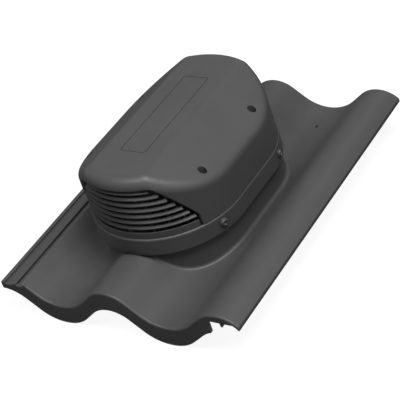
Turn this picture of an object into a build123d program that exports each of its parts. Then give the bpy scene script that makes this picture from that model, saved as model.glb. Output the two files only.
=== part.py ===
import os
from math import acos, asin, atan2, cos, degrees, hypot, radians, sin, tan

from build123d import *

# All sizes are in millimetres: X across the roof, Y up the slope, Z away from the roof.
# The origin is the middle of the overall footprint, on the plane that the tile stands on.

# Tile pan with two rolls, whose right edge laps over the next tile
TILE_LENGTH = 426.0
SIDE_LAP = 33.3
SHELL = 3.5
APRON_DEPTH = 25.3
APRON_THICKNESS = 4.0
APRON_ROUND = 2.4
ROLL_PITCH = 150.0
ROLL_HEIGHT = 35.7
CREST_RADIUS = 38.0
TROUGH_RADIUS = 53.0
CREST_FROM_LEFT = 156.4

# Lower side lap on the left edge, with an edge rib, an inner rib and a drain groove
LAP_WIDTH = 33.0
LAP_BELOW_PAN = 2.6
LAP_THICKNESS = 5.6
LAP_CHANNEL_DEPTH = 2.4
EDGE_RIB_WIDTH = 5.0
INNER_RIB_START = 17.5
INNER_RIB_WIDTH = 4.0
LAP_GROOVE_WIDTH = 2.6
LAP_GROOVE_DEPTH = 3.9

# Upper side lap on the right edge, whose two ribs hang into the next tile's lap
LAP_RIB_THICKNESS = 1.8
LAP_RIB_CLEARANCE = 0.8
LAP_BAR_DEPTH = 9.6
LAP_TOOTH_WIDTH = 8.0
APRON_END_GAP = 6.0

# Nibs that hook over the batten, and the nail holes
NIB_WIDTH = 40.0
NIB_THICKNESS = 10.0
NIB_FROM_HEAD = 8.0
NIB_ROUND = 2.0
NAIL_RADIUS = 2.5
NAIL_FROM_HEAD = 43.0

# Tower plan: a slot with its long axis up the slope, whose back half leans forward
TOWER_X = -12.2
TOWER_SETBACK = 69.0
RING_RADIUS = 98.0
TOWER_STRAIGHT = 74.7
BACK_LEAN = 3.4

# Neck moulded with the tile, which the ring of the vent body caps
NECK_INSET = 5.5
NECK_WALL = 3.0
NECK_FOOT_ROUND = 4.0

# Vent body: ring, deck and louvre
RING_CLEARANCE = 0.7
RING_HEIGHT = 22.4
RING_WALL = 3.0
RING_TOP_ROUND = 2.2
DECK_THICKNESS = 3.0
DECK_INNER_INSET = 12.0
LIP_HEIGHT = 4.0
LIP_WALL = 1.8
FIT_GAP = 0.3

# Louvre
LOUVRE_INSET = 2.0
LOUVRE_BAND = 9.0
LOUVRE_WALL = 1.8
SLAT_PITCH = 8.3
SLAT_GAP = 4.8
SLAT_FLARE = 2.6
SLAT_LIP = 0.8
SLAT_FLARE_HEIGHT = 2.2
SLAT_END_GAP = 1.5
CROWN_HEIGHT = 5.0
POST_THICKNESS = 2.4
POST_DEPTH = 7.0
POST_ANGLES = (-46.0, -34.0, -20.0, 0.0, 20.0, 34.0, 46.0)

# Hood
HOOD_INSET = 1.0
HOOD_WALL = 3.0
HOOD_HEIGHT = 83.9
FLAT_HALF_WIDTH = 39.5
FACET_ANGLE = 32.7
RIM_ROUND = 14.0
CREASE_ROUND = 18.0

# Front opening of the hood, seen from the side
VISOR_HEIGHT = 13.7
VISOR_SETBACK = 12.3
JAMB_SETBACK = 42.8
JAMB_HEIGHT = 15.5
VISOR_CORNER_ROUND = 7.0
JAMB_CORNER_ROUND = 16.0

# Plain groove that frames the middle of the hood's flat top, set back from the front wall
PANEL_WIDTH = 35.4
PANEL_LENGTH = 151.0
PANEL_SETBACK = 55.3
PANEL_GROOVE_WIDTH = 1.2
PANEL_GROOVE_DEPTH = 0.6
PANEL_CORNER = 3.0

# Screws
HOOD_SCREW_INSET = 17.2
HOOD_SCREW_SETBACK = 69.6
HOOD_SCREW_SPACING = 119.0
HOOD_CUP_BORE = 5.0
HOOD_CUP_WALL = 2.0
HOOD_CUP_FLOOR = 3.0
HOOD_POST_RADIUS = 6.0
HOOD_POST_HEIGHT = 30.0
RING_SCREW_DROP = 10.8
RING_SCREW_ANGLES = (-20.0, 14.0, 57.0)
RING_PAD_RADIUS = 6.5
RING_SCREW_HEAD_RADIUS = 5.8
HOOD_SCREW_HEAD_RADIUS = 4.6
SCREW_HEAD_HEIGHT = 3.4
SCREW_FLANGE_HEIGHT = 1.2
SCREW_HEAD_BEVEL = 1.6
SCREW_SHANK_RADIUS = 2.0
HOOD_SCREW_LENGTH = 16.0
RING_SCREW_LENGTH = 12.0
SCREW_SOCKET_WIDTH = 3.0
SCREW_SOCKET_DEPTH = 2.2
SCREW_HOLE_GAP = 0.3
PILOT_GAP = 0.03

# Positions that follow from the sizes above
COVER_WIDTH = 2 * ROLL_PITCH
TILE_WIDTH = COVER_WIDTH + SIDE_LAP
LEFT = -TILE_WIDTH / 2
RIGHT = TILE_WIDTH / 2
FRONT = -TILE_LENGTH / 2
BACK = TILE_LENGTH / 2
PAN_LEFT = LEFT + LAP_WIDTH
CREST_X = LEFT + CREST_FROM_LEFT
APRON_END = RIGHT - SIDE_LAP - APRON_END_GAP
TROUGH_Z = APRON_DEPTH
CREST_Z = TROUGH_Z + ROLL_HEIGHT
TOWER_FRONT_Y = FRONT + TOWER_SETBACK + RING_RADIUS
RING_LOW = CREST_Z + RING_CLEARANCE
SEAM_Z = RING_LOW + RING_HEIGHT
HOOD_TOP = SEAM_Z + HOOD_HEIGHT
DECK_LOW = SEAM_Z - DECK_THICKNESS
HOOD_RADIUS = RING_RADIUS - HOOD_INSET
LOUVRE_RADIUS = RING_RADIUS - LOUVRE_INSET
VISOR_Z = HOOD_TOP - VISOR_HEIGHT
HOOD_POST_TOP = SEAM_Z + HOOD_POST_HEIGHT
BOTTOM_MARGIN = 40.0


def block(x_low, x_high, y_low, y_high, z_low, z_high):
    size = (x_high - x_low, y_high - y_low, z_high - z_low)
    centre = ((x_low + x_high) / 2, (y_low + y_high) / 2, (z_low + z_high) / 2)
    return Pos(*centre) * Box(*size)


def flank_angle():
    """Slope of the straight flank that is tangent to a crest arc and a trough arc."""
    radii = CREST_RADIUS + TROUGH_RADIUS
    half_pitch = ROLL_PITCH / 2
    rise = radii - ROLL_HEIGHT
    return asin(radii / hypot(half_pitch, rise)) - atan2(rise, half_pitch)


def wave_edges(inward):
    """Roll outline from trough to trough, moved inward along its normal."""
    angle = flank_angle()
    crest_radius = CREST_RADIUS - inward
    trough_radius = TROUGH_RADIUS + inward
    crest_centre_z = CREST_Z - CREST_RADIUS
    trough_centre_z = TROUGH_Z + TROUGH_RADIUS
    edges = []
    for period in (-1, 0, 1):
        crest_x = CREST_X + period * ROLL_PITCH
        half = []
        for side in (-1, 1):
            trough_x = crest_x + side * ROLL_PITCH / 2
            crest_tangent = (
                crest_x + side * crest_radius * sin(angle),
                crest_centre_z + crest_radius * cos(angle),
            )
            trough_tangent = (
                trough_x - side * trough_radius * sin(angle),
                trough_centre_z - trough_radius * cos(angle),
            )
            trough_middle = (
                trough_x - side * trough_radius * sin(angle / 2),
                trough_centre_z - trough_radius * cos(angle / 2),
            )
            trough_bottom = (trough_x, trough_centre_z - trough_radius)
            half.append((trough_bottom, trough_middle, trough_tangent, crest_tangent))
        crest_top = (crest_x, crest_centre_z + crest_radius)
        left, right = half
        edges.append(ThreePointArc(left[0], left[1], left[2]))
        edges.append(Line(left[2], left[3]))
        edges.append(ThreePointArc(left[3], crest_top, right[3]))
        edges.append(Line(right[3], right[2]))
        edges.append(ThreePointArc(right[2], right[1], right[0]))
    return edges


def under_wave(inward=0.0, drop=0.0, y_low=FRONT, y_high=BACK):
    """Everything below the roll outline, between two planes across the slope."""
    edges = wave_edges(inward)
    start = edges[0] @ 0
    end = edges[-1] @ 1
    floor = -BOTTOM_MARGIN
    edges.append(Polyline((end.X, end.Y), (end.X, floor), (start.X, floor), (start.X, start.Y)))
    outline = Plane.XZ * make_face(edges)
    solid = extrude(outline, y_high - y_low)
    return Pos(0, y_high, -drop) * solid


def tower_section(radius, z):
    straight = TOWER_STRAIGHT + (SEAM_Z - z) * tan(radians(BACK_LEAN))
    slot = Rot(0, 0, 90) * SlotCenterToCenter(straight, 2 * radius)
    return Pos(TOWER_X, TOWER_FRONT_Y + straight / 2, z) * slot


def tower(inset, z_low, z_high):
    """Solid slot-shaped tower whose back wall leans forward."""
    radius = RING_RADIUS - inset
    return loft([tower_section(radius, z_low), tower_section(radius, z_high)], ruled=True)


def wall_plane(angle, z):
    """Plane on the ring's outer wall, facing out; the angle turns from +X towards +Y."""
    turn = radians(angle)
    lean = 0.0
    centre_y = TOWER_FRONT_Y
    if sin(turn) > 0:
        lean = tan(radians(BACK_LEAN))
        centre_y += TOWER_STRAIGHT + (SEAM_Z - z) * lean
    origin = (TOWER_X + RING_RADIUS * cos(turn), centre_y + RING_RADIUS * sin(turn), z)
    normal = (cos(turn), sin(turn), lean * sin(turn))
    return Plane(origin=origin, z_dir=normal)


def ring_screw_planes():
    height = SEAM_Z - RING_SCREW_DROP
    planes = []
    for angle in RING_SCREW_ANGLES:
        planes.append(wall_plane(angle, height))
        planes.append(wall_plane(180 - angle, height))
    return planes


def hood_screw_spots():
    reach = HOOD_RADIUS - HOOD_SCREW_INSET
    first_y = TOWER_FRONT_Y - HOOD_RADIUS + HOOD_SCREW_SETBACK
    spots = []
    for x in (TOWER_X - reach, TOWER_X + reach):
        for y in (first_y, first_y + HOOD_SCREW_SPACING):
            spots.append((x, y))
    return spots


def rod(radius, z_low, z_high):
    return Pos(0, 0, (z_low + z_high) / 2) * Cylinder(radius, z_high - z_low)


def lap_top():
    return wave_z(PAN_LEFT) - LAP_BELOW_PAN


def side_lap():
    """Left edge strip with weather ribs, and the web that joins it to the pan."""
    top = lap_top()
    channel_top = top - LAP_CHANNEL_DEPTH
    strip_low = top - LAP_THICKNESS
    strip = block(LEFT, PAN_LEFT + SHELL, FRONT, BACK, strip_low, channel_top)
    strip += block(LEFT, LEFT + EDGE_RIB_WIDTH, FRONT, BACK, channel_top, top)
    rib_left = LEFT + INNER_RIB_START
    rib_right = rib_left + INNER_RIB_WIDTH
    strip += block(rib_left, rib_right, FRONT, BACK, channel_top, top)
    groove_floor = top - LAP_GROOVE_DEPTH
    strip -= block(rib_right, rib_right + LAP_GROOVE_WIDTH, FRONT, BACK, groove_floor, top)
    web = block(PAN_LEFT, PAN_LEFT + SHELL, FRONT, BACK, strip_low, CREST_Z)
    return strip + (web & under_wave())


def lap_apron():
    """Apron under the left strip, whose lower edge runs out level at the tile's edge."""
    top = lap_top()
    low = top - LAP_BAR_DEPTH
    web_left = PAN_LEFT + SHELL
    low_z = wave_z(web_left) - APRON_DEPTH
    angle = flank_angle()
    lower_edge = Spline(
        (web_left, low_z),
        (LEFT, low),
        tangents=((-cos(angle), sin(angle)), (-1, 0)),
    )
    channel_top = top - LAP_CHANNEL_DEPTH
    upper_edge = Polyline((LEFT, low), (LEFT, channel_top), (web_left, channel_top), (web_left, low_z))
    outline = Plane.XZ * make_face([lower_edge, upper_edge])
    plate = extrude(outline, APRON_THICKNESS)
    return Pos(0, FRONT + APRON_THICKNESS, 0) * plate


def upper_lap():
    """Front bar and two hanging ribs under the right edge, clear of the next tile's lap."""
    rib_low = lap_top() - LAP_CHANNEL_DEPTH + LAP_RIB_CLEARANCE
    bar_low = CREST_Z - LAP_BAR_DEPTH
    bar_back = FRONT + APRON_THICKNESS
    channel_middle = LEFT + (EDGE_RIB_WIDTH + INNER_RIB_START) / 2 + COVER_WIDTH
    body = block(APRON_END, RIGHT, FRONT, bar_back, bar_low, CREST_Z)
    for x in (channel_middle, RIGHT - LAP_RIB_THICKNESS / 2):
        half = LAP_RIB_THICKNESS / 2
        body += block(x - half, x + half, FRONT, BACK, rib_low, CREST_Z)
        reach = LAP_TOOTH_WIDTH / 2
        tooth = Polyline(
            (x - half, rib_low),
            (x + half, rib_low),
            (x + reach, CREST_Z),
            (x - reach, CREST_Z),
            close=True,
        )
        body += Pos(0, bar_back, 0) * extrude(Plane.XZ * make_face(tooth), APRON_THICKNESS)
    body &= block(APRON_END, RIGHT, FRONT, BACK, rib_low, CREST_Z)
    return body & under_wave()


def nib(x):
    y_high = BACK - NIB_FROM_HEAD
    shape = block(
        x - NIB_WIDTH / 2, x + NIB_WIDTH / 2, y_high - NIB_THICKNESS, y_high, 0, TROUGH_Z + SHELL
    )
    shape = fillet(shape.edges().filter_by(Axis.Z), NIB_ROUND)
    return shape & under_wave(inward=SHELL / 2)


def tile_base():
    hollow_low = -BOTTOM_MARGIN
    pan_box = block(PAN_LEFT, RIGHT, FRONT, BACK, hollow_low, CREST_Z + SHELL)
    pan = (under_wave() - under_wave(inward=SHELL)) & pan_box
    apron_back = FRONT + APRON_THICKNESS
    apron = under_wave(y_high=apron_back) - under_wave(drop=APRON_DEPTH, y_high=apron_back)
    apron &= block(PAN_LEFT, APRON_END, FRONT, apron_back, hollow_low, CREST_Z + SHELL)
    body = pan + apron + upper_lap()
    body = round_front_rim(body)
    body += side_lap()
    body += lap_apron()

    neck = tower(NECK_INSET, TROUGH_Z - SHELL, DECK_LOW) - under_wave(inward=SHELL / 2)
    body += neck
    body = round_neck_foot(body)
    body -= tower(NECK_INSET + NECK_WALL, -BOTTOM_MARGIN, SEAM_Z)

    for side in (-1, 1):
        trough_x = CREST_X + side * ROLL_PITCH / 2
        body += nib(trough_x)
        nail = Pos(trough_x, BACK - NAIL_FROM_HEAD, 0) * rod(NAIL_RADIUS, 0, CREST_Z)
        body -= nail
    for plane in ring_screw_planes():
        body -= plane * rod(SCREW_SHANK_RADIUS + PILOT_GAP, -RING_SCREW_LENGTH - 1, 0)
    return body


def round_front_rim(body):
    rim = [
        edge
        for edge in body.edges().filter_by_position(Axis.Y, FRONT, FRONT)
        if is_on_wave(edge)
    ]
    return fillet(rim, APRON_ROUND)


def is_on_wave(edge):
    middle = edge @ 0.5
    return abs(middle.Z - wave_z(middle.X)) < 0.01


def wave_z(x):
    """Height of the roll outline at x."""
    angle = flank_angle()
    offset = abs((x - CREST_X + ROLL_PITCH / 2) % ROLL_PITCH - ROLL_PITCH / 2)
    if offset < CREST_RADIUS * sin(angle):
        return CREST_Z - CREST_RADIUS + (CREST_RADIUS**2 - offset**2) ** 0.5
    from_trough = ROLL_PITCH / 2 - offset
    if from_trough < TROUGH_RADIUS * sin(angle):
        return TROUGH_Z + TROUGH_RADIUS - (TROUGH_RADIUS**2 - from_trough**2) ** 0.5
    tangent_z = CREST_Z - CREST_RADIUS * (1 - cos(angle))
    return tangent_z - (offset - CREST_RADIUS * sin(angle)) * tan(angle)


def round_neck_foot(body):
    foot = []
    for edge in body.edges():
        box = edge.bounding_box()
        inside = box.min.Y > FRONT + TOWER_SETBACK and box.max.Y < BACK - NIB_FROM_HEAD
        inside = inside and abs(edge.center().X - TOWER_X) < RING_RADIUS
        if inside and box.max.Z < CREST_Z + SHELL and is_on_wave(edge):
            foot.append(edge)
    return fillet(foot, NECK_FOOT_ROUND)


def roof(inset):
    """Prism under the hood's flat top and its two side facets."""
    angle = radians(FACET_ANGLE)
    half = FLAT_HALF_WIDTH - inset * tan(angle / 2)
    top = HOOD_TOP - inset
    reach = RING_RADIUS * 1.2
    eaves = top - (reach - half) * tan(angle)
    low = SEAM_Z - BOTTOM_MARGIN
    outline = make_face(
        Polyline(
            (-reach, low),
            (reach, low),
            (reach, eaves),
            (half, top),
            (-half, top),
            (-reach, eaves),
            close=True,
        )
    )
    prism = extrude(Plane.XZ * outline, TILE_LENGTH)
    prism = Pos(TOWER_X, TILE_LENGTH / 2, 0) * prism
    creases = [
        edge
        for edge in prism.edges().filter_by(Axis.Y)
        if edge.center().Z > top - 1 and abs(abs(edge.center().X - TOWER_X) - half) < 1
    ]
    return fillet(creases, CREASE_ROUND - inset)


def hood_form(inset):
    """Solid of the hood's outside, or of its inside when it is inset by the wall."""
    body = tower(HOOD_INSET + inset, SEAM_Z, HOOD_TOP + HOOD_WALL) & roof(inset)
    rim = [
        edge
        for edge in body.edges()
        if edge.bounding_box().min.Z > SEAM_Z + 1 and not is_crease(edge)
    ]
    return fillet(rim, RIM_ROUND - inset)


def is_crease(edge):
    """A long edge of the roof that runs straight up the slope, away from the walls."""
    inside = abs(edge.center().X - TOWER_X) < HOOD_RADIUS - HOOD_WALL - 1
    return inside and edge.bounding_box().size.X < 0.01


def front_opening():
    """Prism across the hood that leaves the visor, the slanted jambs and their corners."""
    front = TOWER_FRONT_Y - HOOD_RADIUS
    low = SEAM_Z - 1
    reach = RING_RADIUS * 1.2
    visor_corner = (front + VISOR_SETBACK, VISOR_Z)
    jamb_corner = (front + JAMB_SETBACK, SEAM_Z + JAMB_HEIGHT)
    jamb_foot = (front + JAMB_SETBACK, low)
    outline = FilletPolyline(
        (front - reach, VISOR_Z),
        visor_corner,
        jamb_corner,
        jamb_foot,
        radius=[VISOR_CORNER_ROUND, JAMB_CORNER_ROUND],
    )
    closing = Polyline(jamb_foot, (front - reach, low), (front - reach, VISOR_Z))
    face = Plane.YZ * make_face([*outline.edges(), *closing.edges()])
    return Pos(TOWER_X, 0, 0) * extrude(face, reach, both=True)


def hood():
    shell = hood_form(0.0)
    inside = hood_form(HOOD_WALL)
    cup_low = HOOD_POST_TOP
    body = shell - inside
    for x, y in hood_screw_spots():
        cup = Pos(x, y, 0) * rod(HOOD_CUP_BORE + HOOD_CUP_WALL, cup_low, HOOD_TOP)
        body += cup & shell
    for x, y in hood_screw_spots():
        body -= Pos(x, y, 0) * rod(HOOD_CUP_BORE, cup_low + HOOD_CUP_FLOOR, HOOD_TOP + 1)
        body -= Pos(x, y, 0) * rod(SCREW_SHANK_RADIUS + SCREW_HOLE_GAP, cup_low - 1, HOOD_TOP)
    body -= front_opening()
    body -= panel_groove()
    return body


def panel_groove():
    outer = RectangleRounded(PANEL_WIDTH, PANEL_LENGTH, PANEL_CORNER)
    inner = RectangleRounded(
        PANEL_WIDTH - 2 * PANEL_GROOVE_WIDTH,
        PANEL_LENGTH - 2 * PANEL_GROOVE_WIDTH,
        PANEL_CORNER - PANEL_GROOVE_WIDTH,
    )
    middle_y = TOWER_FRONT_Y - HOOD_RADIUS + PANEL_SETBACK + PANEL_LENGTH / 2
    place = Pos(TOWER_X, middle_y, HOOD_TOP - PANEL_GROOVE_DEPTH)
    return place * extrude(outer - inner, PANEL_GROOVE_DEPTH + 1)


def jamb_y(z):
    """Y of the front opening's edge at a height, with sharp corners."""
    front = TOWER_FRONT_Y - HOOD_RADIUS
    jamb_z = SEAM_Z + JAMB_HEIGHT
    share = min(1.0, max(0.0, (z - jamb_z) / (VISOR_Z - jamb_z)))
    return front + JAMB_SETBACK + share * (VISOR_SETBACK - JAMB_SETBACK)


def hood_inner_radius(z):
    """Inner radius of the hood's front at a height, inside the rounding of its rim."""
    rim_z = HOOD_TOP - RIM_ROUND
    rise = max(0.0, z - rim_z)
    inner_round = RIM_ROUND - HOOD_WALL
    return HOOD_RADIUS - RIM_ROUND + (inner_round**2 - rise**2) ** 0.5


def louvre_half_angle(z):
    """Half of the arc that the louvre spans at a height, short of the opening's inner edge."""
    inner_radius = HOOD_RADIUS - HOOD_WALL
    edge_angle = acos((TOWER_FRONT_Y - jamb_y(z)) / inner_radius)
    return degrees(edge_angle - SLAT_END_GAP / inner_radius)


def arc_sweep(outline, half_angle):
    """Section in radius and height, turned about the front of the tower."""
    section = Plane.XZ * outline
    turned = revolve(section, Axis.Z, 2 * half_angle)
    return Pos(TOWER_X, TOWER_FRONT_Y, 0) * Rot(0, 0, -90 - half_angle) * turned


def ring_part(radius, wall, z_low, z_high, half_angle):
    outline = Polyline(
        (radius - wall, z_low),
        (radius, z_low),
        (radius, z_high),
        (radius - wall, z_high),
        close=True,
    )
    return arc_sweep(make_face(outline), half_angle)


def slat_low(index):
    return SEAM_Z + LOUVRE_BAND + SLAT_GAP + index * SLAT_PITCH


def slat_count():
    """Slats that fit below the visor."""
    return int((VISOR_Z + SLAT_GAP - slat_low(0)) / SLAT_PITCH)


def slat(index):
    """Upright blade whose lower edge flares out to shed rain."""
    low = slat_low(index)
    high = low + SLAT_PITCH - SLAT_GAP
    outer = LOUVRE_RADIUS
    blade = LOUVRE_RADIUS - SLAT_FLARE
    outline = Polyline(
        (outer, low),
        (outer, low + SLAT_LIP),
        (blade, low + SLAT_LIP + SLAT_FLARE_HEIGHT),
        (blade, high),
        (blade - LOUVRE_WALL, high),
        (blade - LOUVRE_WALL, low + SLAT_FLARE_HEIGHT),
        (outer - LOUVRE_WALL, low),
        close=True,
    )
    return arc_sweep(make_face(outline), louvre_half_angle(high))


def louvre():
    """Band, slats, posts and crown, moulded as one with the deck."""
    band_top = SEAM_Z + LOUVRE_BAND
    body = ring_part(LOUVRE_RADIUS, LOUVRE_WALL, SEAM_Z, band_top, louvre_half_angle(SEAM_Z))
    count = slat_count()
    for index in range(count):
        body += slat(index)
    crown_low = slat_low(count)
    crown_high = crown_low + CROWN_HEIGHT
    crown_angle = louvre_half_angle(crown_low)
    body += ring_part(
        hood_inner_radius(crown_high) - FIT_GAP, LOUVRE_WALL, crown_low, crown_high, crown_angle
    )
    post_outer = LOUVRE_RADIUS - SLAT_FLARE - LOUVRE_WALL / 2
    for angle in POST_ANGLES:
        tops = [
            slat_low(index) + SLAT_PITCH - SLAT_GAP
            for index in range(count)
            if louvre_half_angle(slat_low(index + 1) - SLAT_GAP) > abs(angle) + 2
        ]
        top = max(tops)
        if abs(angle) < crown_angle - 1:
            top = crown_low + LOUVRE_WALL
        post = block(
            -POST_THICKNESS / 2,
            POST_THICKNESS / 2,
            -post_outer,
            -(post_outer - POST_DEPTH),
            SEAM_Z - DECK_THICKNESS / 2,
            top,
        )
        body += Pos(TOWER_X, TOWER_FRONT_Y, 0) * Rot(0, 0, angle) * post
    return body


def vent_body():
    ring = tower(0, RING_LOW, SEAM_Z)
    top_edges = ring.edges().filter_by_position(Axis.Z, SEAM_Z - 0.1, SEAM_Z + 0.1)
    ring = fillet(top_edges, RING_TOP_ROUND)
    ring -= tower(RING_WALL, RING_LOW - 1, DECK_LOW)
    ring -= tower(DECK_INNER_INSET, RING_LOW, SEAM_Z + 1)

    lip_inset = HOOD_INSET + HOOD_WALL + FIT_GAP
    lip = tower(lip_inset, DECK_LOW + 1, SEAM_Z + LIP_HEIGHT)
    lip -= tower(lip_inset + LIP_WALL, DECK_LOW, SEAM_Z + LIP_HEIGHT + 1)
    lip_front = TOWER_FRONT_Y - HOOD_RADIUS + JAMB_SETBACK
    lip &= block(
        TOWER_X - RING_RADIUS, TOWER_X + RING_RADIUS, lip_front, BACK, DECK_LOW, HOOD_TOP
    )
    body = ring + lip

    tab_radius = HOOD_POST_RADIUS + 2
    for x, y in hood_screw_spots():
        body += Pos(x, y, 0) * rod(tab_radius, DECK_LOW, SEAM_Z)
        body += Pos(x, y, 0) * rod(HOOD_POST_RADIUS, DECK_LOW, HOOD_POST_TOP)
    for plane in ring_screw_planes():
        pad = plane * rod(RING_PAD_RADIUS, -NECK_INSET, -RING_WALL / 2)
        body += pad - tower(NECK_INSET - FIT_GAP, RING_LOW - BOTTOM_MARGIN, DECK_LOW)
    body += louvre()
    for x, y in hood_screw_spots():
        hole_low = HOOD_POST_TOP + HOOD_CUP_FLOOR - HOOD_SCREW_LENGTH - 1
        body -= Pos(x, y, 0) * rod(SCREW_SHANK_RADIUS + PILOT_GAP, hole_low, HOOD_TOP)
    for plane in ring_screw_planes():
        body -= plane * rod(SCREW_SHANK_RADIUS + SCREW_HOLE_GAP, -RING_SCREW_LENGTH, 1)
    return body


def screw(length, head):
    """Self-tapping screw with a flanged head, its seat at z = 0 and its shank below."""
    shank = SCREW_SHANK_RADIUS
    outline = Polyline(
        (0, SCREW_HEAD_HEIGHT),
        (0, -length),
        (shank, shank - length),
        (shank, 0),
        (head, 0),
        (head, SCREW_FLANGE_HEIGHT),
        (head - SCREW_HEAD_BEVEL, SCREW_HEAD_HEIGHT),
        close=True,
    )
    body = revolve(Plane.XZ * make_face(outline), Axis.Z, 360)
    socket = extrude(RegularPolygon(SCREW_SOCKET_WIDTH / 2, 6), SCREW_HEAD_HEIGHT)
    return body - Pos(0, 0, SCREW_HEAD_HEIGHT - SCREW_SOCKET_DEPTH) * socket


def build_parts():
    parts = {
        "tile_base": tile_base(),
        "vent_body": vent_body(),
        "hood": hood(),
    }
    for number, plane in enumerate(ring_screw_planes(), start=1):
        screw_body = screw(RING_SCREW_LENGTH, RING_SCREW_HEAD_RADIUS)
        parts[f"ring_screw_{number}"] = plane * screw_body
    seat = HOOD_POST_TOP + HOOD_CUP_FLOOR
    for number, (x, y) in enumerate(hood_screw_spots(), start=1):
        screw_body = screw(HOOD_SCREW_LENGTH, HOOD_SCREW_HEAD_RADIUS)
        parts[f"hood_screw_{number}"] = Pos(x, y, seat) * screw_body
    return parts


if __name__ == "__main__":
    os.makedirs("parts", exist_ok=True)
    for name, shape in build_parts().items():
        export_step(shape, f"parts/{name}.step")
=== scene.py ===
import math

import bpy
import numpy as np
from mathutils import Euler, Matrix, Vector


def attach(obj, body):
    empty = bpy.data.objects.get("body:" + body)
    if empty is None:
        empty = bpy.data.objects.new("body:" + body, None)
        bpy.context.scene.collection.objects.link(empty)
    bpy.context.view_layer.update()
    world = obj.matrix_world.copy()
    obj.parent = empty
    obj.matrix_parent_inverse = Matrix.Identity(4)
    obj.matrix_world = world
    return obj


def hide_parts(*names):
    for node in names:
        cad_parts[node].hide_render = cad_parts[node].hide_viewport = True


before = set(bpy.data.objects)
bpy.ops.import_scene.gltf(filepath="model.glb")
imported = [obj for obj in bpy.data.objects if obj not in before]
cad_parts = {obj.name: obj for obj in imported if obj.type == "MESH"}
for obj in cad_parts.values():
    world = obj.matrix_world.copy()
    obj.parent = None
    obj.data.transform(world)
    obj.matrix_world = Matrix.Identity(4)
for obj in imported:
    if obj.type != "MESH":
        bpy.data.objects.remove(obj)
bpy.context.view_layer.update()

# Lengths are in metres, lens and sensor in millimetres, angles in degrees, greys in linear values.

# The camera stands to the right of the eave and looks down on the tile
CAMERA_PLACE = (0.91723, -1.07046, 1.02729)
CAMERA_TURN = (53.4225, 14.7921, 30.2787)
CAMERA_LENS = 126.694
CAMERA_SENSOR = 36.0
CAMERA_NEAR = 0.05
CAMERA_FAR = 60.0

# Lamps: name, azimuth from the eave towards the right, elevation, watts
LAMPS = (
    ("overhead", 0, 90, 3.0),
    ("right high", 75, 66, 32.0),
    ("front high", 348, 62, 16.0),
    ("right side", 90, 38, 6.0),
    ("right low", 60, 12, 1.0),
    ("left side", 270, 24, 1.6),
    ("back", 185, 30, 2.2),
)
LAMP_SIZE = 0.9
LAMP_DISTANCE = 2.2
LAMP_TARGET = (0.0, 0.0, 0.08)

# World: white at the horizon, dim above, as in a studio with a pale sweep
SKY_LIGHT = 0.02
SKY_WHITE_BELOW = math.sin(math.radians(12))
SKY_DIM_ABOVE = math.sin(math.radians(35))
SKY_DIM = 0.15

# Floor: the grey that light bounces from, and the paint and glow that are seen
FLOOR_SIZE = 12.0
FLOOR_BOUNCE = 0.3
FLOOR_PAINT = 0.18
FLOOR_GLOW = 0.92

# The glow fades out under the tile, which paints a shadow there: centre, half size, and shares of
# that where it fades
DARK_CENTRE = (-0.035, 0.02, 0.0)
DARK_HALF = (0.115, 0.170, 1.0)
DARK_FADE = (0.78, 1.05)

# Card: corners of its rings, from the tile outwards and up
CARD_RINGS = (
    ((-0.155, -0.20, 0.002), (0.155, -0.20, 0.002), (0.155, 0.20, 0.002), (-0.155, 0.20, 0.002)),
    ((-0.70, -0.80, 0.002), (0.60, -0.80, 0.002), (0.60, 0.80, 0.002), (-0.70, 0.80, 0.002)),
    ((-0.85, -0.95, 0.40), (0.75, -0.95, 0.12), (0.75, 0.95, 0.30), (-0.85, 0.95, 0.45)),
)
CARD_GREY = 0.12

# Noise patterns: scale, detail, roughness; a stretch under 1 lengthens one along its axis
CLOUDS = (16.0, 3.0, 0.5)
SPECKLE = (520.0, 2.0, 0.5)
GRAIN = (1500.0, 3.0, 0.6)
SMUDGES = (45.0, 4.0, 0.6)
SMUDGE_STRETCH = (1.0, 0.35, 1.0)
MOTTLE = (420.0, 3.0, 0.6)
SCRATCHES = (900.0, 2.0, 0.5)
SCRATCH_STRETCH = (1.0, 1.0, 6.0)

# Plastic: each range is the pattern's low and high, and the tone or roughness at both
PLASTIC_GREY = 0.072
CLOUD_TONE = (0.3, 0.7, 0.95, 1.05)
SPECKLE_TONE = (0.3, 0.7, 0.96, 1.04)
SMUDGE_TONE = (0.35, 0.75, 1.0, 1.05)
PLASTIC_ROUGHNESS = (0.35, 0.7, 0.49, 0.42)
PLASTIC_SPECULAR = 0.5
PLASTIC_BUMP = 0.2
PLASTIC_BUMP_HEIGHT = 0.00012
SPECKLE_BUMP = 0.6

# Edges, lighter partly for wear and partly as a painted highlight: rounding that finds them, range
# of its normal's cosine, and the tone they add
EDGE_RADIUS = 0.0009
EDGE_SAMPLES = 6
EDGE_RANGE = (0.98, 0.75, 0.0, 1.0)
EDGE_WEAR_AND_HIGHLIGHT = 0.9

# Mouldings: shift of the noise, reach of the painted shade in hollows, and tone left in a deep one
TILE_NOISE_AND_SHADE = (0.0, 0.0040, 0.60)
VENT_NOISE_AND_SHADE = (1.7, 0.0140, 0.20)
HOOD_NOISE_AND_SHADE = (3.1, 0.0060, 0.25)
HOLLOW_SAMPLES = 8

# Painted shade in hollows: share of the directions that are free in a deep hollow, and where the
# surface counts as open
HOLLOW_DEEP = 0.4
HOLLOW_OPEN = 0.98

# Above the louvre's band the vent body gets painted shade, as the louvre lies in the hood's shade:
# heights of the change, and tone
LOUVRE_BELOW = 0.0925
LOUVRE_ABOVE = 0.0955
LOUVRE_SHADE_TONE = 0.52

# Coated steel
SCREW_GREY = 0.065
MOTTLE_TONE = (0.3, 0.7, 0.85, 1.2)
STEEL_ROUGHNESS = (0.3, 0.7, 0.34, 0.48)
STEEL_SPECULAR = 0.6
STEEL_BUMP = 0.3
STEEL_BUMP_HEIGHT = 0.00008

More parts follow.
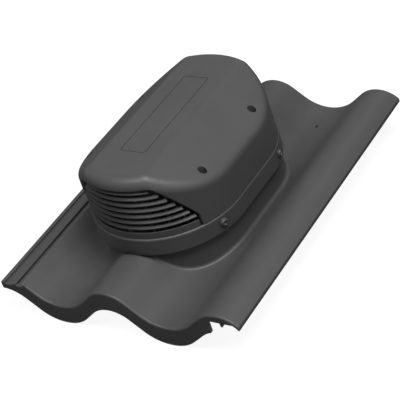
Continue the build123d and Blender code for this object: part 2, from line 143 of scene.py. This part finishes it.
# Screw flange: shares of the CAD head's radius, with heights at its foot and depths at its rim
HEAD_HEIGHT = 0.0034
FLANGE_HEIGHT = 0.0014
FLANGE_FOOT = ((0.97, 0.0), (1.0, 0.00025))
FLANGE_RIM = ((1.0, 0.0006), (0.96, 0.00025), (0.90, 0.0001))

# Screw dome: its share of the head's radius, and of its own its foot, round edge and flat top
DOME_SHARE = 0.76
DOME_FOOT = 1.03
DOME_ROUND = 0.3
DOME_ANGLES = range(0, 90, 10)
DOME_TOP = 0.66

# Screw recess: its share of the head's radius, and shares of its own with depths below the top
SOCKET_SHARE = 0.48
SOCKET_DEPTH = 0.0021
SOCKET_PROFILE = ((1.06, 0.00005), (1.0, 0.0003), (0.93, SOCKET_DEPTH))
SOCKET_LOBES = 6
LOBE_SHARE = 0.13

# Screw thread, and the share of the screw below the head that tapers to the tip
THREAD_CORE = 0.00155
THREAD_CREST = 0.0020
THREAD_PITCH = 0.0012
TOOTH_SHARE = 0.28
TIP_SHARE = 0.16
TIP_RADIUS = 0.00012
SCREW_SEGMENTS = 72
SCREW_STEPS = 96


def grey(value):
    return (value, value, value, 1.0)


class Tree:
    """Short calls for building one node tree."""

    def __init__(self, tree):
        self.nodes = tree.nodes
        self.links = tree.links

    def add(self, kind, **values):
        node = self.nodes.new(kind)
        for key, value in values.items():
            setattr(node, key, value)
        return node

    def feed(self, node, socket, value):
        """Links a socket to an input, or sets the input to a value."""
        if isinstance(value, bpy.types.NodeSocket):
            self.links.new(value, node.inputs[socket])
        else:
            node.inputs[socket].default_value = value

    def place(self, kind="Object"):
        return self.add("ShaderNodeTexCoord").outputs[kind]

    def split(self, vector):
        """The outputs X, Y and Z of a vector."""
        node = self.add("ShaderNodeSeparateXYZ")
        self.feed(node, 0, vector)
        return node.outputs

    def math(self, operation, first, second, clamp=False):
        node = self.add("ShaderNodeMath", operation=operation, use_clamp=clamp)
        self.feed(node, 0, first)
        self.feed(node, 1, second)
        return node.outputs[0]

    def vector(self, operation, first, second=(0.0, 0.0, 0.0)):
        node = self.add("ShaderNodeVectorMath", operation=operation)
        self.feed(node, 0, first)
        self.feed(node, 1, second)
        if operation == "DOT_PRODUCT":
            return node.outputs["Value"]
        return node.outputs["Vector"]

    def ramp(self, value, low, high, to_low, to_high):
        node = self.add("ShaderNodeMapRange")
        self.feed(node, "Value", value)
        self.feed(node, "From Min", low)
        self.feed(node, "From Max", high)
        self.feed(node, "To Min", to_low)
        self.feed(node, "To Max", to_high)
        return node.outputs["Result"]

    def noise(self, place, scale, detail, rough):
        node = self.add("ShaderNodeTexNoise")
        self.feed(node, "Vector", place)
        self.feed(node, "Scale", scale)
        self.feed(node, "Detail", detail)
        self.feed(node, "Roughness", rough)
        return node.outputs["Fac"]

    def toned_grey(self, tone, value):
        node = self.add("ShaderNodeCombineColor")
        for channel in ("Red", "Green", "Blue"):
            self.feed(node, channel, self.math("MULTIPLY", tone, value))
        return node.outputs["Color"]

    def bump(self, height, strength, distance):
        node = self.add("ShaderNodeBump")
        self.feed(node, "Strength", strength)
        self.feed(node, "Distance", distance)
        self.feed(node, "Height", height)
        return node

    def diffuse(self, value):
        node = self.add("ShaderNodeBsdfDiffuse")
        self.feed(node, "Color", grey(value))
        return node.outputs[0]

    def background(self, strength):
        node = self.add("ShaderNodeBackground")
        self.feed(node, "Color", grey(1.0))
        self.feed(node, "Strength", strength)
        return node.outputs[0]

    def mix(self, share, first, second):
        """The first shader where the share is 0, and the second where it is 1."""
        node = self.add("ShaderNodeMixShader")
        self.feed(node, 0, share)
        self.feed(node, 1, first)
        self.feed(node, 2, second)
        return node.outputs[0]

    def seen_rays(self):
        """1 for the rays that show the background: camera, glossy and transmission rays."""
        path = self.add("ShaderNodeLightPath")
        shown = path.outputs["Is Camera Ray"]
        for name in ("Is Glossy Ray", "Is Transmission Ray"):
            shown = self.math("ADD", shown, path.outputs[name], clamp=True)
        return shown


def new_material(name):
    """Material with the usual shader, and its tree."""
    material = bpy.data.materials.new(name)
    material.use_nodes = True
    return material, Tree(material.node_tree)


def bare_material(name):
    """Material with an output and no shader, its tree and its output."""
    material, tree = new_material(name)
    tree.nodes.clear()
    return material, tree, tree.add("ShaderNodeOutputMaterial")


def add_object(name, data):
    item = bpy.data.objects.new(name, data)
    bpy.context.scene.collection.objects.link(item)
    return item


def add_mesh(name, points, faces, material):
    mesh = bpy.data.meshes.new(name)
    mesh.from_pydata(points, [], faces)
    mesh.materials.append(material)
    return add_object(name, mesh)


def band_faces(rings, corners):
    """Quads between each ring of points and the next."""
    faces = []
    for low in range(0, (rings - 1) * corners, corners):
        high = low + corners
        for k in range(corners):
            after = (k + 1) % corners
            faces.append((low + k, low + after, high + after, high + k))
    return faces


def make_camera():
    data = bpy.data.cameras.new("camera")
    data.lens = CAMERA_LENS
    data.sensor_width = CAMERA_SENSOR
    data.clip_start = CAMERA_NEAR
    data.clip_end = CAMERA_FAR
    camera = add_object("camera", data)
    camera.location = CAMERA_PLACE
    turns = [math.radians(angle) for angle in CAMERA_TURN]
    camera.rotation_euler = Euler(turns, "XYZ")
    bpy.context.scene.camera = camera


def make_lamps():
    for name, azimuth, elevation, power in LAMPS:
        data = bpy.data.lights.new(name, "AREA")
        data.shape = "DISK"
        data.size = LAMP_SIZE
        data.energy = power
        turn = math.radians(azimuth)
        rise = math.radians(elevation)
        across = LAMP_DISTANCE * math.cos(rise)
        height = LAMP_DISTANCE * math.sin(rise)
        offset = Vector((across * math.sin(turn), -across * math.cos(turn), height))
        lamp = add_object(name, data)
        lamp.location = Vector(LAMP_TARGET) + offset
        lamp.rotation_euler = (-offset).to_track_quat("-Z", "Y").to_euler()
        lamp.visible_camera = False


def make_world():
    world = bpy.data.worlds.new("world")
    bpy.context.scene.world = world
    world.use_nodes = True
    tree = Tree(world.node_tree)
    tree.nodes.clear()
    output = tree.add("ShaderNodeOutputWorld")
    height = tree.split(tree.place("Generated"))["Z"]
    strength = tree.ramp(height, SKY_WHITE_BELOW, SKY_DIM_ABOVE, 1.0, SKY_DIM)
    light = tree.background(SKY_LIGHT)
    seen = tree.background(strength)
    tree.feed(output, "Surface", tree.mix(tree.seen_rays(), light, seen))


def make_floor():
    """White floor that keeps the object's shadow, with its glow left out under the tile as a
    painted shadow.
    """
    material, tree, output = bare_material("floor")
    # Painted shadow: the floor's glow is left out under the tile
    from_centre = tree.vector("SUBTRACT", tree.place(), DARK_CENTRE)
    shares = tree.split(tree.vector("DIVIDE", tree.vector("ABSOLUTE", from_centre), DARK_HALF))
    reach = tree.math("MAXIMUM", shares["X"], shares["Y"])
    open_floor = tree.ramp(reach, *DARK_FADE, 0.0, 1.0)

    glow = tree.add("ShaderNodeEmission")
    tree.feed(glow, "Strength", tree.math("MULTIPLY", open_floor, FLOOR_GLOW))
    seen = tree.add("ShaderNodeAddShader")
    tree.feed(seen, 0, glow.outputs[0])
    tree.feed(seen, 1, tree.diffuse(FLOOR_PAINT))
    bounce = tree.diffuse(FLOOR_BOUNCE)
    tree.feed(output, "Surface", tree.mix(tree.seen_rays(), bounce, seen.outputs[0]))

    half = FLOOR_SIZE / 2
    corners = [(-half, -half, 0), (half, -half, 0), (half, half, 0), (-half, half, 0)]
    floor = add_mesh("floor", corners, [(0, 1, 2, 3)], material)


def make_card():
    """Dark card round the tile, out of the camera's sight, as studios use against glare."""
    material, tree, output = bare_material("dark card")
    tree.feed(output, "Surface", tree.diffuse(CARD_GREY))
    corners = [corner for ring in CARD_RINGS for corner in ring]
    faces = band_faces(len(CARD_RINGS), len(CARD_RINGS[0]))
    card = add_mesh("dark_card", corners, faces, material)
    card.visible_camera = False
    card.visible_shadow = False


def moulded_plastic(name, shift, reach, depth, painted_louvre_shade=False):
    """Dark matt moulding with a fine grain and clouding, edges lightened partly for wear and
    partly as a painted highlight, and painted shade in hollows.
    """
    material, tree = new_material(name)
    shader = tree.nodes["Principled BSDF"]
    own_place = tree.place()
    place = tree.vector("ADD", own_place, (shift, 2 * shift, 3 * shift))
    clouds = tree.noise(place, *CLOUDS)
    speckle = tree.noise(place, *SPECKLE)
    grain = tree.noise(place, *GRAIN)
    smudges = tree.noise(tree.vector("MULTIPLY", place, SMUDGE_STRETCH), *SMUDGES)

    bevel = tree.add("ShaderNodeBevel", samples=EDGE_SAMPLES)
    tree.feed(bevel, "Radius", EDGE_RADIUS)
    rounded = bevel.outputs["Normal"]
    true_normal = tree.add("ShaderNodeNewGeometry").outputs["True Normal"]
    along = tree.vector("DOT_PRODUCT", rounded, true_normal)
    edge = tree.ramp(along, *EDGE_RANGE)

    tone = tree.ramp(clouds, *CLOUD_TONE)
    tone = tree.math("MULTIPLY", tone, tree.ramp(speckle, *SPECKLE_TONE))
    tone = tree.math("MULTIPLY", tone, tree.ramp(smudges, *SMUDGE_TONE))
    # Edges lightened: partly wear, partly a painted highlight
    tone = tree.math("ADD", tone, tree.math("MULTIPLY", edge, EDGE_WEAR_AND_HIGHLIGHT))
    # Painted shade: the tone is darker where the AO node finds nearby surfaces
    painted_hollow_shade = tree.add("ShaderNodeAmbientOcclusion", samples=HOLLOW_SAMPLES)
    tree.feed(painted_hollow_shade, "Distance", reach)
    shade = tree.ramp(painted_hollow_shade.outputs["AO"], HOLLOW_DEEP, HOLLOW_OPEN, depth, 1.0)
    tone = tree.math("MULTIPLY", tone, shade)
    # Painted shade over the louvre, which lies under the hood
    if painted_louvre_shade:
        height = tree.split(own_place)["Z"]
        shade = tree.ramp(height, LOUVRE_BELOW, LOUVRE_ABOVE, 1.0, LOUVRE_SHADE_TONE)
        tone = tree.math("MULTIPLY", tone, shade)
    tree.feed(shader, "Base Color", tree.toned_grey(tone, PLASTIC_GREY))
    tree.feed(shader, "Roughness", tree.ramp(smudges, *PLASTIC_ROUGHNESS))
    tree.feed(shader, "Specular IOR Level", PLASTIC_SPECULAR)

    relief = tree.math("ADD", grain, tree.math("MULTIPLY", speckle, SPECKLE_BUMP))
    bump = tree.bump(relief, PLASTIC_BUMP, PLASTIC_BUMP_HEIGHT)
    tree.feed(bump, "Normal", rounded)
    tree.feed(shader, "Normal", bump.outputs["Normal"])
    return material


def coated_steel(name):
    """Dark coated screw steel, mottled and lightly scratched."""
    material, tree = new_material(name)
    shader = tree.nodes["Principled BSDF"]
    place = tree.place()
    mottle = tree.noise(place, *MOTTLE)
    scratches = tree.noise(tree.vector("MULTIPLY", place, SCRATCH_STRETCH), *SCRATCHES)
    tone = tree.ramp(mottle, *MOTTLE_TONE)
    tree.feed(shader, "Base Color", tree.toned_grey(tone, SCREW_GREY))
    tree.feed(shader, "Roughness", tree.ramp(mottle, *STEEL_ROUGHNESS))
    tree.feed(shader, "Specular IOR Level", STEEL_SPECULAR)
    bump = tree.bump(scratches, STEEL_BUMP, STEEL_BUMP_HEIGHT)
    tree.feed(shader, "Normal", bump.outputs["Normal"])
    return material


def screw_axis(node):
    """Direction from shank to head, head top, head radius and length of a CAD screw."""
    points = np.array([vertex.co for vertex in node.data.vertices])
    middle = points.mean(axis=0)
    offsets = points - middle
    spread, vectors = np.linalg.eigh(np.cov(offsets.T))
    # The other two directions lie across the screw, where it spreads alike
    gaps = [abs(spread[k - 1] - spread[k - 2]) for k in range(3)]
    axis = vectors[:, int(np.argmin(gaps))]
    along = offsets @ axis
    across = np.linalg.norm(offsets - np.outer(along, axis), axis=1)
    if along[int(np.argmax(across))] < (along.max() + along.min()) / 2:
        axis = -axis
        along = -along
    top = middle + axis * along.max()
    return Vector(axis), Vector(top), float(across.max()), float(along.max() - along.min())


def thread_radius(height, angle, taper):
    phase = (height / THREAD_PITCH - angle / (2 * math.pi)) % 1.0
    tooth = max(0.0, 1.0 - abs(phase - 0.5) / TOOTH_SHARE)
    radius = THREAD_CORE + (THREAD_CREST - THREAD_CORE) * tooth
    return max(TIP_RADIUS, taper * radius)


def head_outline(head_radius):
    """Radius and height above the seat, from the flange's foot to the edge of the recess."""
    outline = [(head_radius * share, height) for share, height in FLANGE_FOOT]
    outline += [(head_radius * share, FLANGE_HEIGHT - depth) for share, depth in FLANGE_RIM]
    dome = head_radius * DOME_SHARE
    outline.append((dome * DOME_FOOT, FLANGE_HEIGHT))
    for angle in DOME_ANGLES:
        turn = math.radians(angle)
        radius = dome * (1 - DOME_ROUND + DOME_ROUND * math.cos(turn))
        rise = (HEAD_HEIGHT - FLANGE_HEIGHT) * math.sin(turn)
        outline.append((radius, FLANGE_HEIGHT + rise))
    outline.append((dome * DOME_TOP, HEAD_HEIGHT))
    return outline


def screw_rings(head_radius, length):
    """Rings of (radius, angle, height above the seat) from the tip to the recess floor."""
    angles = [2 * math.pi * k / SCREW_SEGMENTS for k in range(SCREW_SEGMENTS)]
    rings = []
    tip = HEAD_HEIGHT - length
    for step in range(SCREW_STEPS + 1):
        share = step / SCREW_STEPS
        height = tip * (1 - share)
        taper = min(1.0, share / TIP_SHARE)
        rings.append([(thread_radius(height, angle, taper), angle, height) for angle in angles])
    for radius, height in head_outline(head_radius):
        rings.append([(radius, angle, height) for angle in angles])
    for share, depth in SOCKET_PROFILE:
        socket = head_radius * SOCKET_SHARE * share
        lobed = []
        for angle in angles:
            radius = socket * (1 + LOBE_SHARE * math.cos(SOCKET_LOBES * angle))
            lobed.append((radius, angle, HEAD_HEIGHT - depth))
        rings.append(lobed)
    return rings


def screw_piece(name, node, material):
    """Pan-head screw with a washer flange, a six-lobed recess and a thread."""
    axis, top, head_radius, length = screw_axis(node)
    turn = Vector((0, 0, 1)).rotation_difference(axis)
    place = Matrix.Translation(top) @ turn.to_matrix().to_4x4()
    rings = screw_rings(head_radius, length)
    points = []
    for ring in rings:
        for radius, angle, height in ring:
            local = (radius * math.cos(angle), radius * math.sin(angle), height - HEAD_HEIGHT)
            points.append(place @ Vector(local))
    faces = band_faces(len(rings), SCREW_SEGMENTS)
    recess_floor = list(range(len(points) - SCREW_SEGMENTS, len(points)))
    tip = list(reversed(range(SCREW_SEGMENTS)))
    piece = add_mesh(name, points, [*faces, recess_floor, tip], material)
    for polygon in piece.data.polygons:
        polygon.use_smooth = True
    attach(piece, "root")
    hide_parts(node.name)


def dress_nodes():
    finishes = {
        "tile_base": moulded_plastic("tile plastic", *TILE_NOISE_AND_SHADE),
        "vent_body": moulded_plastic("vent plastic", *VENT_NOISE_AND_SHADE, painted_louvre_shade=True),
        "hood": moulded_plastic("hood plastic", *HOOD_NOISE_AND_SHADE),
    }
    steel = coated_steel("screw finish")
    for name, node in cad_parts.items():
        node.data.materials.clear()
        node.data.materials.append(finishes.get(name, steel))
        if "screw" in name:
            screw_piece(f"{name}_detail", node, steel)


make_camera()
make_lamps()
make_world()
make_floor()
make_card()
dress_nodes()

bpy.context.scene.view_settings.view_transform = "Standard"
